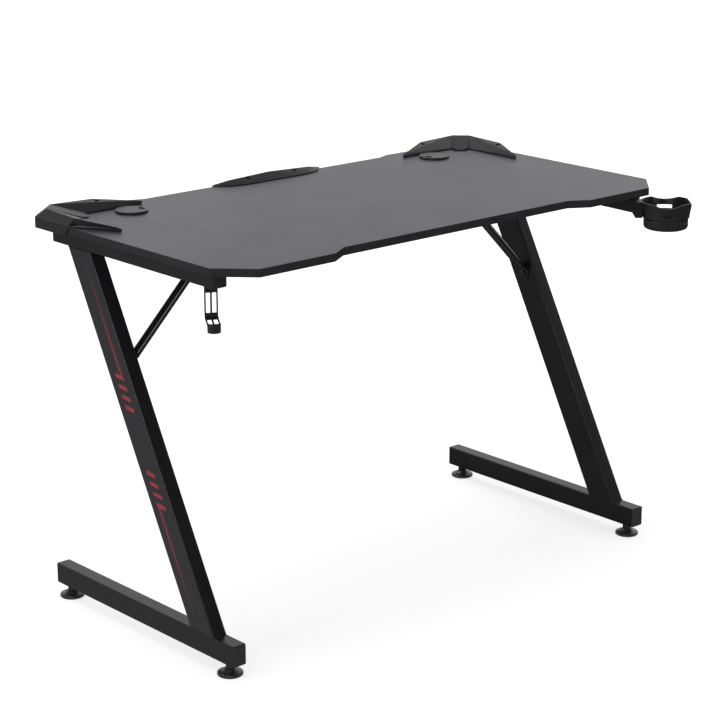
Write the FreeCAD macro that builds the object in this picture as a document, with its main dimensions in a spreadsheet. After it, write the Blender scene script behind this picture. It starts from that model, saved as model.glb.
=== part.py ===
import FreeCAD, Part
import math
import os

import Sketcher

# A gaming desk on two Z-shaped steel side frames. Millimetres, +Z up, +X to the user's right,
# +Y towards the back. The origin is on the floor under the middle of the tabletop.

LEFT, RIGHT = -1, 1
FRONT, BACK = -1, 1
SIDES = {"left": LEFT, "right": RIGHT}
ENDS = {"front": FRONT, "back": BACK}

# Angles, in degrees
BRACE_SLOPE = 45.0
HOOK_TURN = 29.0
HOOK_SHELF_FALL = 16.0
CAP_NOTCH_TURN = {"left": -12.0, "right": 192.0}
CUP_TURN = 135.0
TAB_SPAN = 46.0

# Shares of the size that each follows
BOLT_CROWN_SHARE, BOLT_RIM_SHARE = 0.7, 0.4
SCREW_CROWN_SHARE, SCREW_RIM_SHARE = 0.75, 0.5
BOWL_CORNER_SHARE = 0.3
ROUND_SECTION_FLAT_SHARE = 0.001
HOOK_SCREW_SHARES = (0.6, 1.7)

# Driving dimensions: name, millimetres
SIZES = {
    # tabletop board
    "top_width": 1100, "top_depth": 590, "top_thick": 15, "top_height": 745,
    "front_corner_cut": 61, "back_corner_cut": 17,
    "front_recess": 24, "front_recess_half": 283, "front_step_run": 39,
    "back_recess": 11, "back_recess_half": 304, "back_step_run": 27,
    # side frames
    "side_inset": 11, "tube_width": 30, "tube_wall": 1.5,
    "rail_high": 25, "rail_front_inset": 66, "rail_back_inset": 48,
    "foot_rail_high": 40, "foot_rail_gap": 24, "foot_front_inset": 31, "foot_back_inset": 16,
    "leg_deep": 60, "leg_foot_from_front": 119, "leg_head_from_back": 130,
    "cap_thick": 2, "plug_deep": 14, "plug_wall": 2, "plug_gap": 0.15,
    # crossbeam and braces
    "beam_deep": 40, "plate_thick": 4, "plate_long": 84, "plate_bolt_pitch": 62,
    "brace_bolt_drop": 226, "brace_tube_r": 8.6, "brace_tube_wall": 1.2, "brace_flare": 16,
    "brace_tab_wide": 25, "brace_tab_thick": 3, "brace_tab_end": 13.5, "brace_tab_rise": 8,
    # threaded fasteners
    "bolt_r": 3, "bolt_head_r": 5.5, "bolt_head_high": 3.5, "bolt_grip": 9, "bolt_gap": 0.1,
    "screw_r": 2, "screw_head_r": 4, "screw_head_high": 2.4, "screw_bite": 11, "screw_gap": 0.1,
    "rail_screw_end": 28,
    # levelling feet
    "foot_end_inset": 27, "pad_r": 23.5, "pad_rim_high": 6.5, "pad_bevel": 1.5, "pad_neck_r": 8.5,
    "pad_shelf_r": 14.5, "pad_shelf_rise": 1.5, "pad_high": 14,
    "stud_r": 4, "stud_long": 38, "collar_high": 7.5, "collar_across": 15,
    "bush_r": 8, "bush_high": 11, "stud_gap": 0.06, "stud_hole_gap": 0.8,
    # cable grommets
    "grommet_from_side": 162, "grommet_from_back": 87, "grommet_bore_r": 27,
    "sleeve_gap": 0.2, "sleeve_wall": 2,
    "flange_r": 31, "flange_thick": 4.5, "flange_bevel": 0.8, "ledge_wide": 2.5,
    "ledge_thick": 2, "sleeve_long": 20, "lid_thick": 3.5, "lid_gap": 0.4, "lid_rest_gap": 0.2,
    "notch_wide": 16, "notch_deep": 10,
    # corner guards
    "guard_arm": 214, "guard_wide": 48, "guard_skin": 2.5, "guard_drop": 18, "guard_base": 2.3,
    "guard_peak": 20, "guard_ridge": 17, "guard_ridge_inset": 8, "guard_ridge_cut": 26,
    "guard_ridge_end": 128, "guard_skirt": 106, "guard_skirt_lean": 14, "guard_corner": 14,
    "guard_tip": 8, "guard_tip_back": 6, "guard_ledge": 8, "guard_ledge_rise": 3.7,
    "guard_strip_wide": 33, "guard_strip_reach": 88,
    "guard_screw_along": 131, "guard_screw_across": 20, "guard_recess_r": 5, "guard_recess_floor": 6,
    # centre guard
    "mid_half": 138, "mid_shoulder_half": 112, "mid_front_half": 78, "mid_deep": 33, "mid_shoulder": 24,
    "mid_ridge_half": 102, "mid_ridge_end": 9, "mid_ridge": 13, "mid_ridge_inset": 6, "mid_drop": 12,
    "mid_screw_half": 59, "mid_screw_from_back": 14, "mid_recess_floor": 4,
    # cup holder
    "cup_reach": 38, "cup_drop": 20, "cup_collar_high": 32, "cup_collar_r": 51, "cup_waist_r": 46,
    "cup_wall": 3, "cup_scoop_r": 62, "cup_scoop": 6, "cup_slot_wide": 30, "cup_slot_high": 7,
    "cup_slot_rise": 8, "cup_front_slot_high": 2.3, "cup_lip_high": 3, "cup_lip_deep": 2.4, "cup_groove": 4,
    "bowl_r": 44, "bowl_high": 18.5, "bowl_wall": 2.5, "bowl_round": 6,
    "arm_wide": 32, "arm_heel": 61, "arm_knee": 68, "arm_knee_rise": 11, "arm_brow": 125, "arm_tail": 236,
    "arm_tail_thick": 4, "arm_screw_near": 150, "arm_screw_far": 215, "arm_root": 47,
    # headphone hook
    "hook_from_rail": 16, "hook_from_front": 131, "hook_wide": 23.8, "hook_thick": 2.4, "hook_drop": 88,
    "hook_bend_r": 7, "hook_shelf": 23, "hook_lip_rise": 3.5, "hook_nose_wall": 3, "hook_nose_high": 16.5,
    "hook_foot_deep": 34, "hook_slot_wide": 7.6, "hook_slot_long": 36, "hook_slot_low": 1.5,
    "hook_slot_gap": 3.2, "hook_vent_from": 6.5, "hook_vent_long": 17, "hook_screw_pitch": 15,
    # one overrun serves every cut
    "overrun": 4,
}

doc = FreeCAD.newDocument("desk")
sheet = doc.addObject("Spreadsheet::Sheet", "Sizes")
for row, (alias, millimetres) in enumerate(SIZES.items(), start=1):
    sheet.set(f"A{row}", alias)
    sheet.set(f"B{row}", str(millimetres))
    sheet.setAlias(f"B{row}", alias)
doc.recompute()

nodes = []


class Size:
    """A length that carries both its value and the sheet expression it comes from."""

    def __init__(self, text, value):
        self.text = text
        self.value = value

    def join(self, sign, other, value):
        text = other.text if isinstance(other, Size) else repr(other)
        return Size(f"({self.text} {sign} {text})", value)

    def __add__(self, other):
        return self.join("+", other, self.value + number(other))

    def __sub__(self, other):
        return self.join("-", other, self.value - number(other))

    def __mul__(self, other):
        return self.join("*", other, self.value * number(other))

    def __truediv__(self, other):
        return self.join("/", other, self.value / number(other))

    def __neg__(self):
        return self * -1

    __rmul__ = __mul__


def number(size):
    return size.value if isinstance(size, Size) else size


def named(alias):
    return Size(f"Sizes.{alias}", float(sheet.get(alias)))


def length(alias):
    return named(alias).value


def keep(obj, label):
    obj.Label = label
    nodes.append((label, obj))
    return obj


def put(obj, x=0, y=0, z=0, axis=(0, 0, 1), angle=0.0):
    """Turn an object about an axis through its own origin, then bind its place."""
    turn = FreeCAD.Rotation(FreeCAD.Vector(*axis), angle)
    obj.Placement = FreeCAD.Placement(FreeCAD.Vector(number(x), number(y), number(z)), turn)
    for letter, size in (("x", x), ("y", y), ("z", z)):
        if isinstance(size, Size):
            obj.setExpression(f"Placement.Base.{letter}", size.text)
    return obj


def primitive(kind, name, sizes, **place):
    obj = doc.addObject(f"Part::{kind}", name)
    for prop, size in sizes.items():
        setattr(obj, prop, number(size))
        if isinstance(size, Size):
            obj.setExpression(prop, size.text)
    return put(obj, **place)


def box(name, long, deep, high, **place):
    return primitive("Box", name, {"Length": long, "Width": deep, "Height": high}, **place)


def rod(name, radius, high, sweep=360.0, **place):
    return primitive("Cylinder", name, {"Radius": radius, "Height": high, "Angle": sweep}, **place)


def join(kind, name, base, tool):
    obj = doc.addObject(f"Part::{kind}", name)
    obj.Base, obj.Tool = base, tool
    return obj


def cut(name, base, tools):
    for count, tool in enumerate(tools):
        base = join("Cut", f"{name}_cut{count}", base, tool)
    return base


def fuse(name, base, tools):
    for count, tool in enumerate(tools):
        base = join("Fuse", f"{name}_fuse{count}", base, tool)
    return base


def group(name, members):
    obj = doc.addObject("Part::Compound", name)
    obj.Links = members
    return obj


def shaped(name, shape, x, y, z, angle=0.0):
    """A free shape with its own place."""
    obj = doc.addObject("Part::Feature", name)
    obj.Shape = shape
    return put(obj, x=x, y=y, z=z, angle=angle)


def new_body(name):
    return doc.addObject("PartDesign::Body", name)


def outline(body, plane, points):
    """A closed straight-sided sketch whose every corner is bound to the sheet."""
    sketch = body.newObject("Sketcher::SketchObject", f"{body.Name}_outline")
    origin = [face for face in body.Origin.OriginFeatures if face.Role == plane][0]
    sketch.AttachmentSupport = (origin, [""])
    sketch.MapMode = "FlatFace"
    corners = [FreeCAD.Vector(number(x), number(y), 0) for x, y in points]
    for index, corner in enumerate(corners):
        sketch.addGeometry(Part.LineSegment(corner, corners[(index + 1) % len(corners)]))
    for index in range(len(corners)):
        sketch.addConstraint(Sketcher.Constraint("Coincident", index, 2, (index + 1) % len(corners), 1))
    for index, (x, y) in enumerate(points):
        for kind, size in (("DistanceX", x), ("DistanceY", y)):
            place = sketch.addConstraint(Sketcher.Constraint(kind, -1, 1, index, 1, number(size)))
            if isinstance(size, Size):
                sketch.setExpression(f"Constraints[{place}]", size.text)
    return sketch


def pad(body, sketch, high, symmetric=False):
    feature = body.newObject("PartDesign::Pad", f"{body.Name}_pad")
    feature.Profile = sketch
    feature.Length = high.value
    feature.setExpression("Length", high.text)
    if symmetric:
        feature.Midplane = True
    return feature


def turned(name, points):
    """A body turned about its own Z axis from a half section of radius and height pairs."""
    body = new_body(name)
    sketch = outline(body, "XZ_Plane", points)
    feature = body.newObject("PartDesign::Revolution", f"{name}_turn")
    feature.Profile = sketch
    feature.ReferenceAxis = (sketch, ["V_Axis"])
    feature.Angle = 360.0
    return body


# Levels and lines that several pieces share
OVERRUN = named("overrun")
half_width = named("top_width") / 2
half_depth = named("top_depth") / 2
top_level = named("top_height")
under_top = named("top_height") - named("top_thick")
rail_bottom = under_top - named("rail_high")
frame_outer = half_width - named("side_inset")
frame_inner = frame_outer - named("tube_width")
frame_middle = frame_outer - named("tube_width") / 2
rail_ends = {"front": named("rail_front_inset") - half_depth, "back": half_depth - named("rail_back_inset")}
foot_ends = {"front": named("foot_front_inset") - half_depth, "back": half_depth - named("foot_back_inset")}
foot_top = named("foot_rail_gap") + named("foot_rail_high")
leg_foot = named("leg_foot_from_front") - half_depth
leg_head = half_depth - named("leg_head_from_back")
leg_rise = rail_bottom - foot_top
leg_run = leg_head - leg_foot
lean = math.atan2(leg_run.value, leg_rise.value)
brace_level = under_top - named("brace_bolt_drop")
brace_y = leg_foot + leg_run * (brace_level - foot_top) / leg_rise
back_edge = half_depth - named("back_recess")
grommet_x = half_width - named("grommet_from_side")
grommet_y = half_depth - named("grommet_from_back")


def near_side(side, inner, outer):
    """The lower X of a span that lies between two distances from the middle."""
    return outer * side if side == LEFT else inner * side


# Where each set of screws bites into the board from above or below
guard_screw_spots = []
for side in SIDES.values():
    along, across = named("guard_screw_along"), named("guard_screw_across")
    guard_screw_spots.append(((half_width - along) * side, half_depth - across))
    guard_screw_spots.append(((half_width - across) * side, half_depth - along))
mid_screw_spots = [(named("mid_screw_half") * side, back_edge - named("mid_screw_from_back"))
                   for side in SIDES.values()]
rail_middle = (rail_ends["front"] + rail_ends["back"]) / 2
rail_screw_spots = [(frame_middle * side, line) for side in SIDES.values()
                    for line in (rail_ends["front"] + named("rail_screw_end"), rail_middle,
                                 rail_ends["back"] - named("rail_screw_end"))]

# The cup holder's arm runs square to the cut front right corner, the hook faces the left one
diagonal = math.sqrt(0.5)
cup_x = half_width - named("front_corner_cut") / 2 + named("cup_reach") * diagonal
cup_y = named("front_corner_cut") / 2 - half_depth - named("cup_reach") * diagonal
arm_screw_spots = [(cup_x - named(alias) * diagonal, cup_y + named(alias) * diagonal)
                   for alias in ("arm_screw_near", "arm_screw_far")]
hook_x = -(frame_inner - named("hook_from_rail"))
hook_y = named("hook_from_front") - half_depth
hook_sin, hook_cos = math.sin(math.radians(HOOK_TURN)), math.cos(math.radians(HOOK_TURN))
hook_screw_spots = [(hook_x + named("hook_screw_pitch") * hook_sin * step,
                     hook_y + named("hook_screw_pitch") * hook_cos * step) for step in HOOK_SCREW_SHARES]


def pilot(name, spot, level):
    """A hole for a screw that bites upwards or downwards from a level."""
    x, y = spot
    return rod(name, named("screw_r") + named("screw_gap"), named("screw_bite"), x=x, y=y, z=level)


def tabletop():
    body = new_body("board")
    corner, step = named("front_corner_cut"), named("front_step_run")
    back_corner, back_step = named("back_corner_cut"), named("back_step_run")
    right_half = [
        (named("front_recess_half"), named("front_recess") - half_depth),
        (named("front_recess_half") + step, -half_depth),
        (half_width - corner, -half_depth),
        (half_width, corner - half_depth),
        (half_width, half_depth - back_corner),
        (half_width - back_corner, half_depth),
        (named("back_recess_half") + back_step, half_depth),
        (named("back_recess_half"), back_edge),
    ]
    left_half = [(-x, y) for x, y in reversed(right_half)]
    pad(body, outline(body, "XY_Plane", right_half + left_half), named("top_thick"))
    put(body, z=under_top)
    holes = []
    for name, side in SIDES.items():
        holes.append(rod(f"board_{name}_bore", named("grommet_bore_r"), named("top_thick") + OVERRUN * 2,
                         x=grommet_x * side, y=grommet_y, z=under_top - OVERRUN))
    for index, spot in enumerate(guard_screw_spots + mid_screw_spots):
        holes.append(pilot(f"board_upper_pilot{index}", spot, top_level - named("screw_bite")))
    for index, spot in enumerate(rail_screw_spots + arm_screw_spots + hook_screw_spots):
        holes.append(pilot(f"board_lower_pilot{index}", spot, under_top))
    keep(cut("board", body, holes), "tabletop")


def rectangular_tube(name, side, ends, level, high):
    """A hollow rail along Y at one side frame, left open for its end caps."""
    wall, width, lid = named("tube_wall"), named("tube_width"), named("cap_thick")
    start, reach = ends["front"] + lid, ends["back"] - ends["front"] - lid * 2
    left = near_side(side, frame_inner, frame_outer)
    outer = box(f"{name}_outer", width, reach, high, x=left, y=start, z=level)
    inner = box(f"{name}_inner", width - wall * 2, reach + OVERRUN * 2, high - wall * 2,
                x=left + wall, y=start - OVERRUN, z=level + wall)
    return join("Cut", f"{name}_tube", outer, inner)


def end_cap(name, side, end, tip, level, high):
    """A plastic cap that closes a tube's end with a plug inside it."""
    wall, width, lid = named("tube_wall"), named("tube_width"), named("cap_thick")
    gap, deep, skin = named("plug_gap"), named("plug_deep"), named("plug_wall")
    left = near_side(side, frame_inner, frame_outer)
    inset = wall + gap
    plate_start = tip if end == FRONT else tip - lid
    plug_start = tip + lid if end == FRONT else tip - lid - deep
    plate = box(f"{name}_plate", width, lid, high, x=left, y=plate_start, z=level)
    plug = box(f"{name}_plug", width - inset * 2, deep, high - inset * 2,
               x=left + inset, y=plug_start, z=level + inset)
    hollow = box(f"{name}_hollow", width - (inset + skin) * 2, deep, high - (inset + skin) * 2,
                 x=left + inset + skin, y=plug_start, z=level + inset + skin)
    keep(fuse(name, plate, [join("Cut", f"{name}_sleeve", plug, hollow)]), name)


def plain_hole(name, radius, spot, level, deep):
    x, y = spot
    return rod(name, radius, deep, x=x, y=y, z=level)


def upper_rail(label, side):
    name = f"upper_rail_{label}"
    tube = rectangular_tube(name, side, rail_ends, rail_bottom, named("rail_high"))
    holes = []
    for index, spot in enumerate(rail_screw_spots):
        if spot[0].value * side > 0:
            holes.append(plain_hole(f"{name}_hole{index}", named("screw_r") + named("screw_gap"), spot,
                                    rail_bottom - OVERRUN, named("rail_high") + OVERRUN * 2))
    for index, line in enumerate(beam_bolt_lines()):
        holes.append(beam_hole(f"{name}_bolt_hole{index}", side, line))
    keep(cut(name, tube, holes), name)
    for end_label, end in ENDS.items():
        end_cap(f"upper_cap_{label}_{end_label}", side, end, rail_ends[end_label], rail_bottom,
                named("rail_high"))


def foot_spots(side):
    inset = named("foot_end_inset")
    return {"front": (frame_middle * side, foot_ends["front"] + inset),
            "back": (frame_middle * side, foot_ends["back"] - inset)}


def foot_rail(label, side):
    name = f"foot_rail_{label}"
    tube = rectangular_tube(name, side, foot_ends, named("foot_rail_gap"), named("foot_rail_high"))
    holes = [plain_hole(f"{name}_hole_{end}", named("stud_r") + named("stud_hole_gap"), spot,
                        named("foot_rail_gap") - OVERRUN, OVERRUN * 2 + named("tube_wall"))
             for end, spot in foot_spots(side).items()]
    keep(cut(name, tube, holes), name)
    for end_label, end in ENDS.items():
        end_cap(f"foot_cap_{label}_{end_label}", side, end, foot_ends[end_label],
                named("foot_rail_gap"), named("foot_rail_high"))


def leg_post(label, side):
    """A leaning hollow tube, cut level at the foot rail and at the upper rail."""
    name = f"leg_post_{label}"
    slant = 1.0 / math.cos(lean)

    def profile(inset):
        half = (named("leg_deep") / 2 - inset) * slant
        return [(leg_foot - half, foot_top), (leg_foot + half, foot_top),
                (leg_head + half, rail_bottom), (leg_head - half, rail_bottom)]

    outer = new_body(f"{name}_outer")
    pad(outer, outline(outer, "YZ_Plane", profile(named("tube_wall") * 0)), named("tube_width"), True)
    put(outer, x=frame_middle * side)
    inner = new_body(f"{name}_inner")
    pad(inner, outline(inner, "YZ_Plane", profile(named("tube_wall"))),
        named("tube_width") - named("tube_wall") * 2, True)
    put(inner, x=frame_middle * side)
    hole = rod(f"{name}_hole", named("bolt_r") + named("bolt_gap"), named("tube_wall") + OVERRUN * 2,
               x=near_side(side, frame_inner - OVERRUN, frame_inner + named("tube_wall") + OVERRUN),
               y=brace_y, z=brace_level, axis=(0, 1, 0), angle=90.0)
    keep(cut(name, outer, [inner, hole]), name)


def beam_bolt_lines():
    return [brace_y + named("plate_bolt_pitch") / 2 * end for end in ENDS.values()]


def beam_level():
    return rail_bottom + named("rail_high") / 2


def beam_hole(name, side, line):
    """A bolt hole along X through an end plate and the rail's inner wall."""
    radius = named("bolt_r") + named("bolt_gap")
    reach = named("plate_thick") + named("tube_wall") + OVERRUN * 2
    start = near_side(side, frame_inner - named("plate_thick") - OVERRUN,
                      frame_inner + named("tube_wall") + OVERRUN)
    return rod(name, radius, reach, x=start, y=line, z=beam_level(), axis=(0, 1, 0), angle=90.0)


def crossbeam():
    """The tube under the board that ties the two side frames, with a plate at each end."""
    wall, deep, high = named("tube_wall"), named("beam_deep"), named("rail_high")
    reach = (frame_inner - named("plate_thick")) * 2
    start = -(frame_inner - named("plate_thick"))
    outer = box("beam_outer", reach, deep, high, x=start, y=brace_y - deep / 2, z=rail_bottom)
    inner = box("beam_inner", reach + OVERRUN * 2, deep - wall * 2, high - wall * 2,
                x=start - OVERRUN, y=brace_y - deep / 2 + wall, z=rail_bottom + wall)
    holes = [plain_hole(f"beam_hole_{label}", named("bolt_r") + named("bolt_gap"),
                        (brace_head() * side, brace_y), rail_bottom - OVERRUN, wall + OVERRUN * 2)
             for label, side in SIDES.items()]
    keep(cut("beam", outer, [inner] + holes), "crossbeam")
    for label, side in SIDES.items():
        left = near_side(side, frame_inner - named("plate_thick"), frame_inner)
        plate = box(f"plate_{label}", named("plate_thick"), named("plate_long"), high, x=left,
                    y=brace_y - named("plate_long") / 2, z=rail_bottom)
        drills = [beam_hole(f"plate_{label}_hole{index}", side, line)
                  for index, line in enumerate(beam_bolt_lines())]
        keep(cut(f"plate_{label}", plate, drills), f"crossbeam_plate_{label}")
    bolts = []
    for label, side in SIDES.items():
        for index, line in enumerate(beam_bolt_lines()):
            seat = (frame_inner - named("plate_thick")) * side
            name = f"beam_bolt_{label}{index}"
            bolts.append(bolt(name, seat, line, beam_level(), (0, 1, 0), 90.0 * side))
    keep(group("beam_bolts", bolts), "crossbeam_bolts")


def bolt(name, x, y, z, axis=(0, 0, 1), angle=0.0):
    """A domed-head bolt: the head stands behind its seat, the shank runs along its own +Z."""
    head_r, head_high = named("bolt_head_r"), named("bolt_head_high")
    body = turned(name, [(named("bolt_r") * 0, -head_high), (head_r * BOLT_CROWN_SHARE, -head_high),
                         (head_r, head_high * -BOLT_RIM_SHARE), (head_r, head_r * 0),
                         (named("bolt_r"), head_r * 0), (named("bolt_r"), named("bolt_grip")),
                         (named("bolt_r") * 0, named("bolt_grip"))])
    return put(body, x=x, y=y, z=z, axis=axis, angle=angle)


def screw(name, x, y, z, reach, axis=(0, 0, 1), angle=0.0):
    """A wood screw: the head stands behind its seat, the shank runs along its own +Z."""
    head_r, head_high = named("screw_head_r"), named("screw_head_high")
    body = turned(name, [(head_r * 0, -head_high), (head_r * SCREW_CROWN_SHARE, -head_high),
                         (head_r, head_high * -SCREW_RIM_SHARE), (head_r, head_r * 0),
                         (named("screw_r"), head_r * 0), (named("screw_r"), reach - named("screw_r")),
                         (head_r * 0, reach)])
    return put(body, x=x, y=y, z=z, axis=axis, angle=angle)


def brace_bend():
    """Height of the lower bend, where the strut leaves the leg."""
    return brace_level + named("brace_tab_rise")


def brace_head():
    """Distance from the middle to the upper bolt, under the crossbeam."""
    climb = rail_bottom - named("brace_tab_thick") / 2 - brace_bend()
    return frame_inner - named("brace_tab_thick") / 2 - climb / math.tan(math.radians(BRACE_SLOPE)) \
        - named("brace_tab_rise")


def brace_shape():
    """The right-hand strut about the middle of the leg bolt: a tube with two flattened, bent tabs."""
    thick, wide = length("brace_tab_thick"), length("brace_tab_wide")
    rise, end = length("brace_tab_rise"), length("brace_tab_end")
    radius, wall, flare = length("brace_tube_r"), length("brace_tube_wall"), length("brace_flare")
    slope = math.radians(BRACE_SLOPE)
    climb = rail_bottom.value - thick / 2 - brace_bend().value
    low = FreeCAD.Vector(-thick / 2, 0, rise)
    run = FreeCAD.Vector(-math.cos(slope), 0, math.sin(slope))
    high = low + run * (climb / math.sin(slope))

    def ring(centre, half_thick, half_wide):
        """A flattened round section square to the strut."""
        side = FreeCAD.Vector(0, 1, 0)
        face = run.cross(side)
        straight = max(half_wide - half_thick, half_thick * ROUND_SECTION_FLAT_SHARE)
        a, b = centre + face * half_thick + side * straight, centre - face * half_thick + side * straight
        c, d = centre - face * half_thick - side * straight, centre + face * half_thick - side * straight
        right = centre + side * (straight + half_thick)
        left = centre - side * (straight + half_thick)
        return Part.Wire([Part.Arc(a, right, b).toShape(), Part.makeLine(b, c),
                          Part.Arc(c, left, d).toShape(), Part.makeLine(d, a)])

    tube_low, tube_high = low + run * flare, high - run * flare
    span = (tube_high - tube_low).Length
    tube = Part.makeCylinder(radius, span, tube_low, run)
    bore = Part.makeCylinder(radius - wall, span, tube_low, run)
    parts = [tube.cut(bore)]
    for near, far in ((low, tube_low), (high, tube_high)):
        sections = [ring(near, thick / 2, wide / 2), ring(far, radius, radius)]
        parts.append(Part.makeLoft(sections, True, True))
    hole = length("bolt_r") + length("bolt_gap")
    parts.append(tab_plate(wide, end, rise, thick, hole, FreeCAD.Vector(0, 0, 0), False))
    parts.append(tab_plate(wide, end, rise, thick, hole, high + FreeCAD.Vector(-rise, 0, thick / 2), True))
    shape = parts[0].multiFuse(parts[1:])
    return shape.removeSplitter()


def tab_plate(wide, end, rise, thick, hole, bolt_point, level):
    """A flat tab with a round end and a bolt hole, standing on the leg or lying under the beam."""
    plate = Part.makeBox(thick, wide, rise, FreeCAD.Vector(-thick, -wide / 2, 0))
    along = FreeCAD.Vector(1, 0, 0)
    tip = Part.makeCylinder(wide / 2, thick, FreeCAD.Vector(-thick, 0, wide / 2 - end), along)
    plate = plate.fuse(tip)
    if end > wide / 2:
        plate = plate.fuse(Part.makeBox(thick, wide, end - wide / 2,
                                        FreeCAD.Vector(-thick, -wide / 2, wide / 2 - end)))
    plate = plate.cut(Part.makeCylinder(hole, thick * 2, FreeCAD.Vector(-thick * 1.5, 0, 0), along))
    if level:
        plate.rotate(FreeCAD.Vector(0, 0, 0), FreeCAD.Vector(0, 1, 0), 90.0)
        plate.rotate(FreeCAD.Vector(0, 0, 0), FreeCAD.Vector(1, 0, 0), 180.0)
    plate.translate(bolt_point)
    return plate


def braces():
    strut = shaped("brace_right", brace_shape(), frame_inner, brace_y, brace_level)
    keep(strut, "brace_right")
    twin = doc.addObject("Part::Mirroring", "brace_left")
    twin.Source, twin.Normal = strut, FreeCAD.Vector(1, 0, 0)
    keep(twin, "brace_left")
    lower, upper = [], []
    for label, side in SIDES.items():
        seat = (frame_inner - named("brace_tab_thick")) * side
        lower.append(bolt(f"brace_bolt_{label}", seat, brace_y, brace_level,
                          (0, 1, 0), 90.0 * side))
        upper.append(bolt(f"brace_top_bolt_{label}", brace_head() * side, brace_y,
                          rail_bottom - named("brace_tab_thick")))
    keep(group("brace_bolts", lower), "brace_leg_bolts")
    keep(group("brace_top_bolts", upper), "brace_beam_bolts")


def rail_screws():
    """Long screws up through each upper rail into the board."""
    screws = [screw(f"rail_screw{index}", x, y, rail_bottom,
                    named("rail_high") + named("screw_bite") - named("screw_gap"))
              for index, (x, y) in enumerate(rail_screw_spots)]
    keep(group("rail_screws", screws), "tabletop_screws")


def levelling_foot(label, side, end, spot):
    """A round pad on a threaded stud, and the bush in the rail that the stud turns in."""
    name = f"{label}_{end}"
    x, y = spot
    rim, bevel, high = named("pad_rim_high"), named("pad_bevel"), named("pad_high")
    zero = rim * 0
    pad_body = turned(f"pad_{name}", [
        (zero, zero), (named("pad_r") - bevel, zero), (named("pad_r"), bevel),
        (named("pad_r"), rim - bevel), (named("pad_r") - bevel, rim),
        (named("pad_shelf_r"), rim + named("pad_shelf_rise")), (named("pad_neck_r"), high), (zero, high)])
    keep(put(pad_body, x=x, y=y), f"foot_pad_{name}")
    stud = rod(f"stud_{name}_thread", named("stud_r"), named("stud_long"), x=x, y=y, z=high)
    nut = doc.addObject("Part::Prism", f"stud_{name}_hex")
    nut.Polygon = 6
    across = named("collar_across") / math.sqrt(3)
    nut.Circumradius = across.value
    nut.setExpression("Circumradius", across.text)
    nut.Height = length("collar_high")
    nut.setExpression("Height", named("collar_high").text)
    put(nut, x=x, y=y, z=high)
    keep(fuse(f"stud_{name}", stud, [nut]), f"foot_stud_{name}")
    floor = named("foot_rail_gap") + named("tube_wall")
    bush = rod(f"bush_{name}_outer", named("bush_r"), named("bush_high"), x=x, y=y, z=floor)
    bore = rod(f"bush_{name}_bore", named("stud_r") + named("stud_gap"), named("bush_high") + OVERRUN * 2,
               x=x, y=y, z=floor - OVERRUN)
    return join("Cut", f"bush_{name}", bush, bore)


def levelling_feet():
    bushes = []
    for label, side in SIDES.items():
        for end, spot in foot_spots(side).items():
            bushes.append(levelling_foot(label, side, end, spot))
    keep(group("foot_bushes", bushes), "foot_bushes")


def grommet(label, side):
    """A flanged sleeve in the board and a lid with a cable notch that turns in it."""
    outer = named("grommet_bore_r") - named("sleeve_gap")
    inner = outer - named("sleeve_wall")
    lid_r = inner - named("lid_gap")
    rim, bevel, ledge = (named(n) for n in ("flange_thick", "flange_bevel", "ledge_thick"))
    ledge_top = rim - named("lid_thick") - named("lid_rest_gap")
    ledge_r = inner - named("ledge_wide")
    zero = rim * 0
    sleeve = turned(f"sleeve_{label}", [
        (inner, rim), (named("flange_r") - bevel, rim), (named("flange_r"), rim - bevel),
        (named("flange_r"), zero), (outer, zero), (outer, -named("sleeve_long")),
        (inner, -named("sleeve_long")), (inner, ledge_top - ledge), (ledge_r, ledge_top - ledge),
        (ledge_r, ledge_top), (inner, ledge_top)])
    x, y = grommet_x * side, grommet_y
    keep(put(sleeve, x=x, y=y, z=top_level), f"grommet_sleeve_{label}")
    disc = rod(f"lid_{label}_disc", lid_r, named("lid_thick"))
    wide, deep = named("notch_wide"), named("notch_deep")
    slot = box(f"lid_{label}_slot", deep, wide, named("lid_thick") + OVERRUN * 2,
               x=lid_r - deep + wide / 2, y=-wide / 2, z=-OVERRUN)
    end = rod(f"lid_{label}_slot_end", wide / 2, named("lid_thick") + OVERRUN * 2,
              x=lid_r - deep + wide / 2, z=-OVERRUN)
    lid = cut(f"lid_{label}", disc, [slot, end])
    put(lid, x=x, y=y, z=top_level + rim - named("lid_thick"), angle=CAP_NOTCH_TURN[label])
    keep(lid, f"grommet_lid_{label}")


def solid_from(faces):
    """A closed solid from flat faces, each a list of corner points."""
    shell = Part.makeShell([Part.Face(Part.makePolygon(points + points[:1])) for points in faces])
    shell.sewShape()
    solid = Part.Solid(shell)
    if solid.Volume < 0:
        solid.reverse()
    return solid


def vector(point):
    return FreeCAD.Vector(*point)


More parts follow.
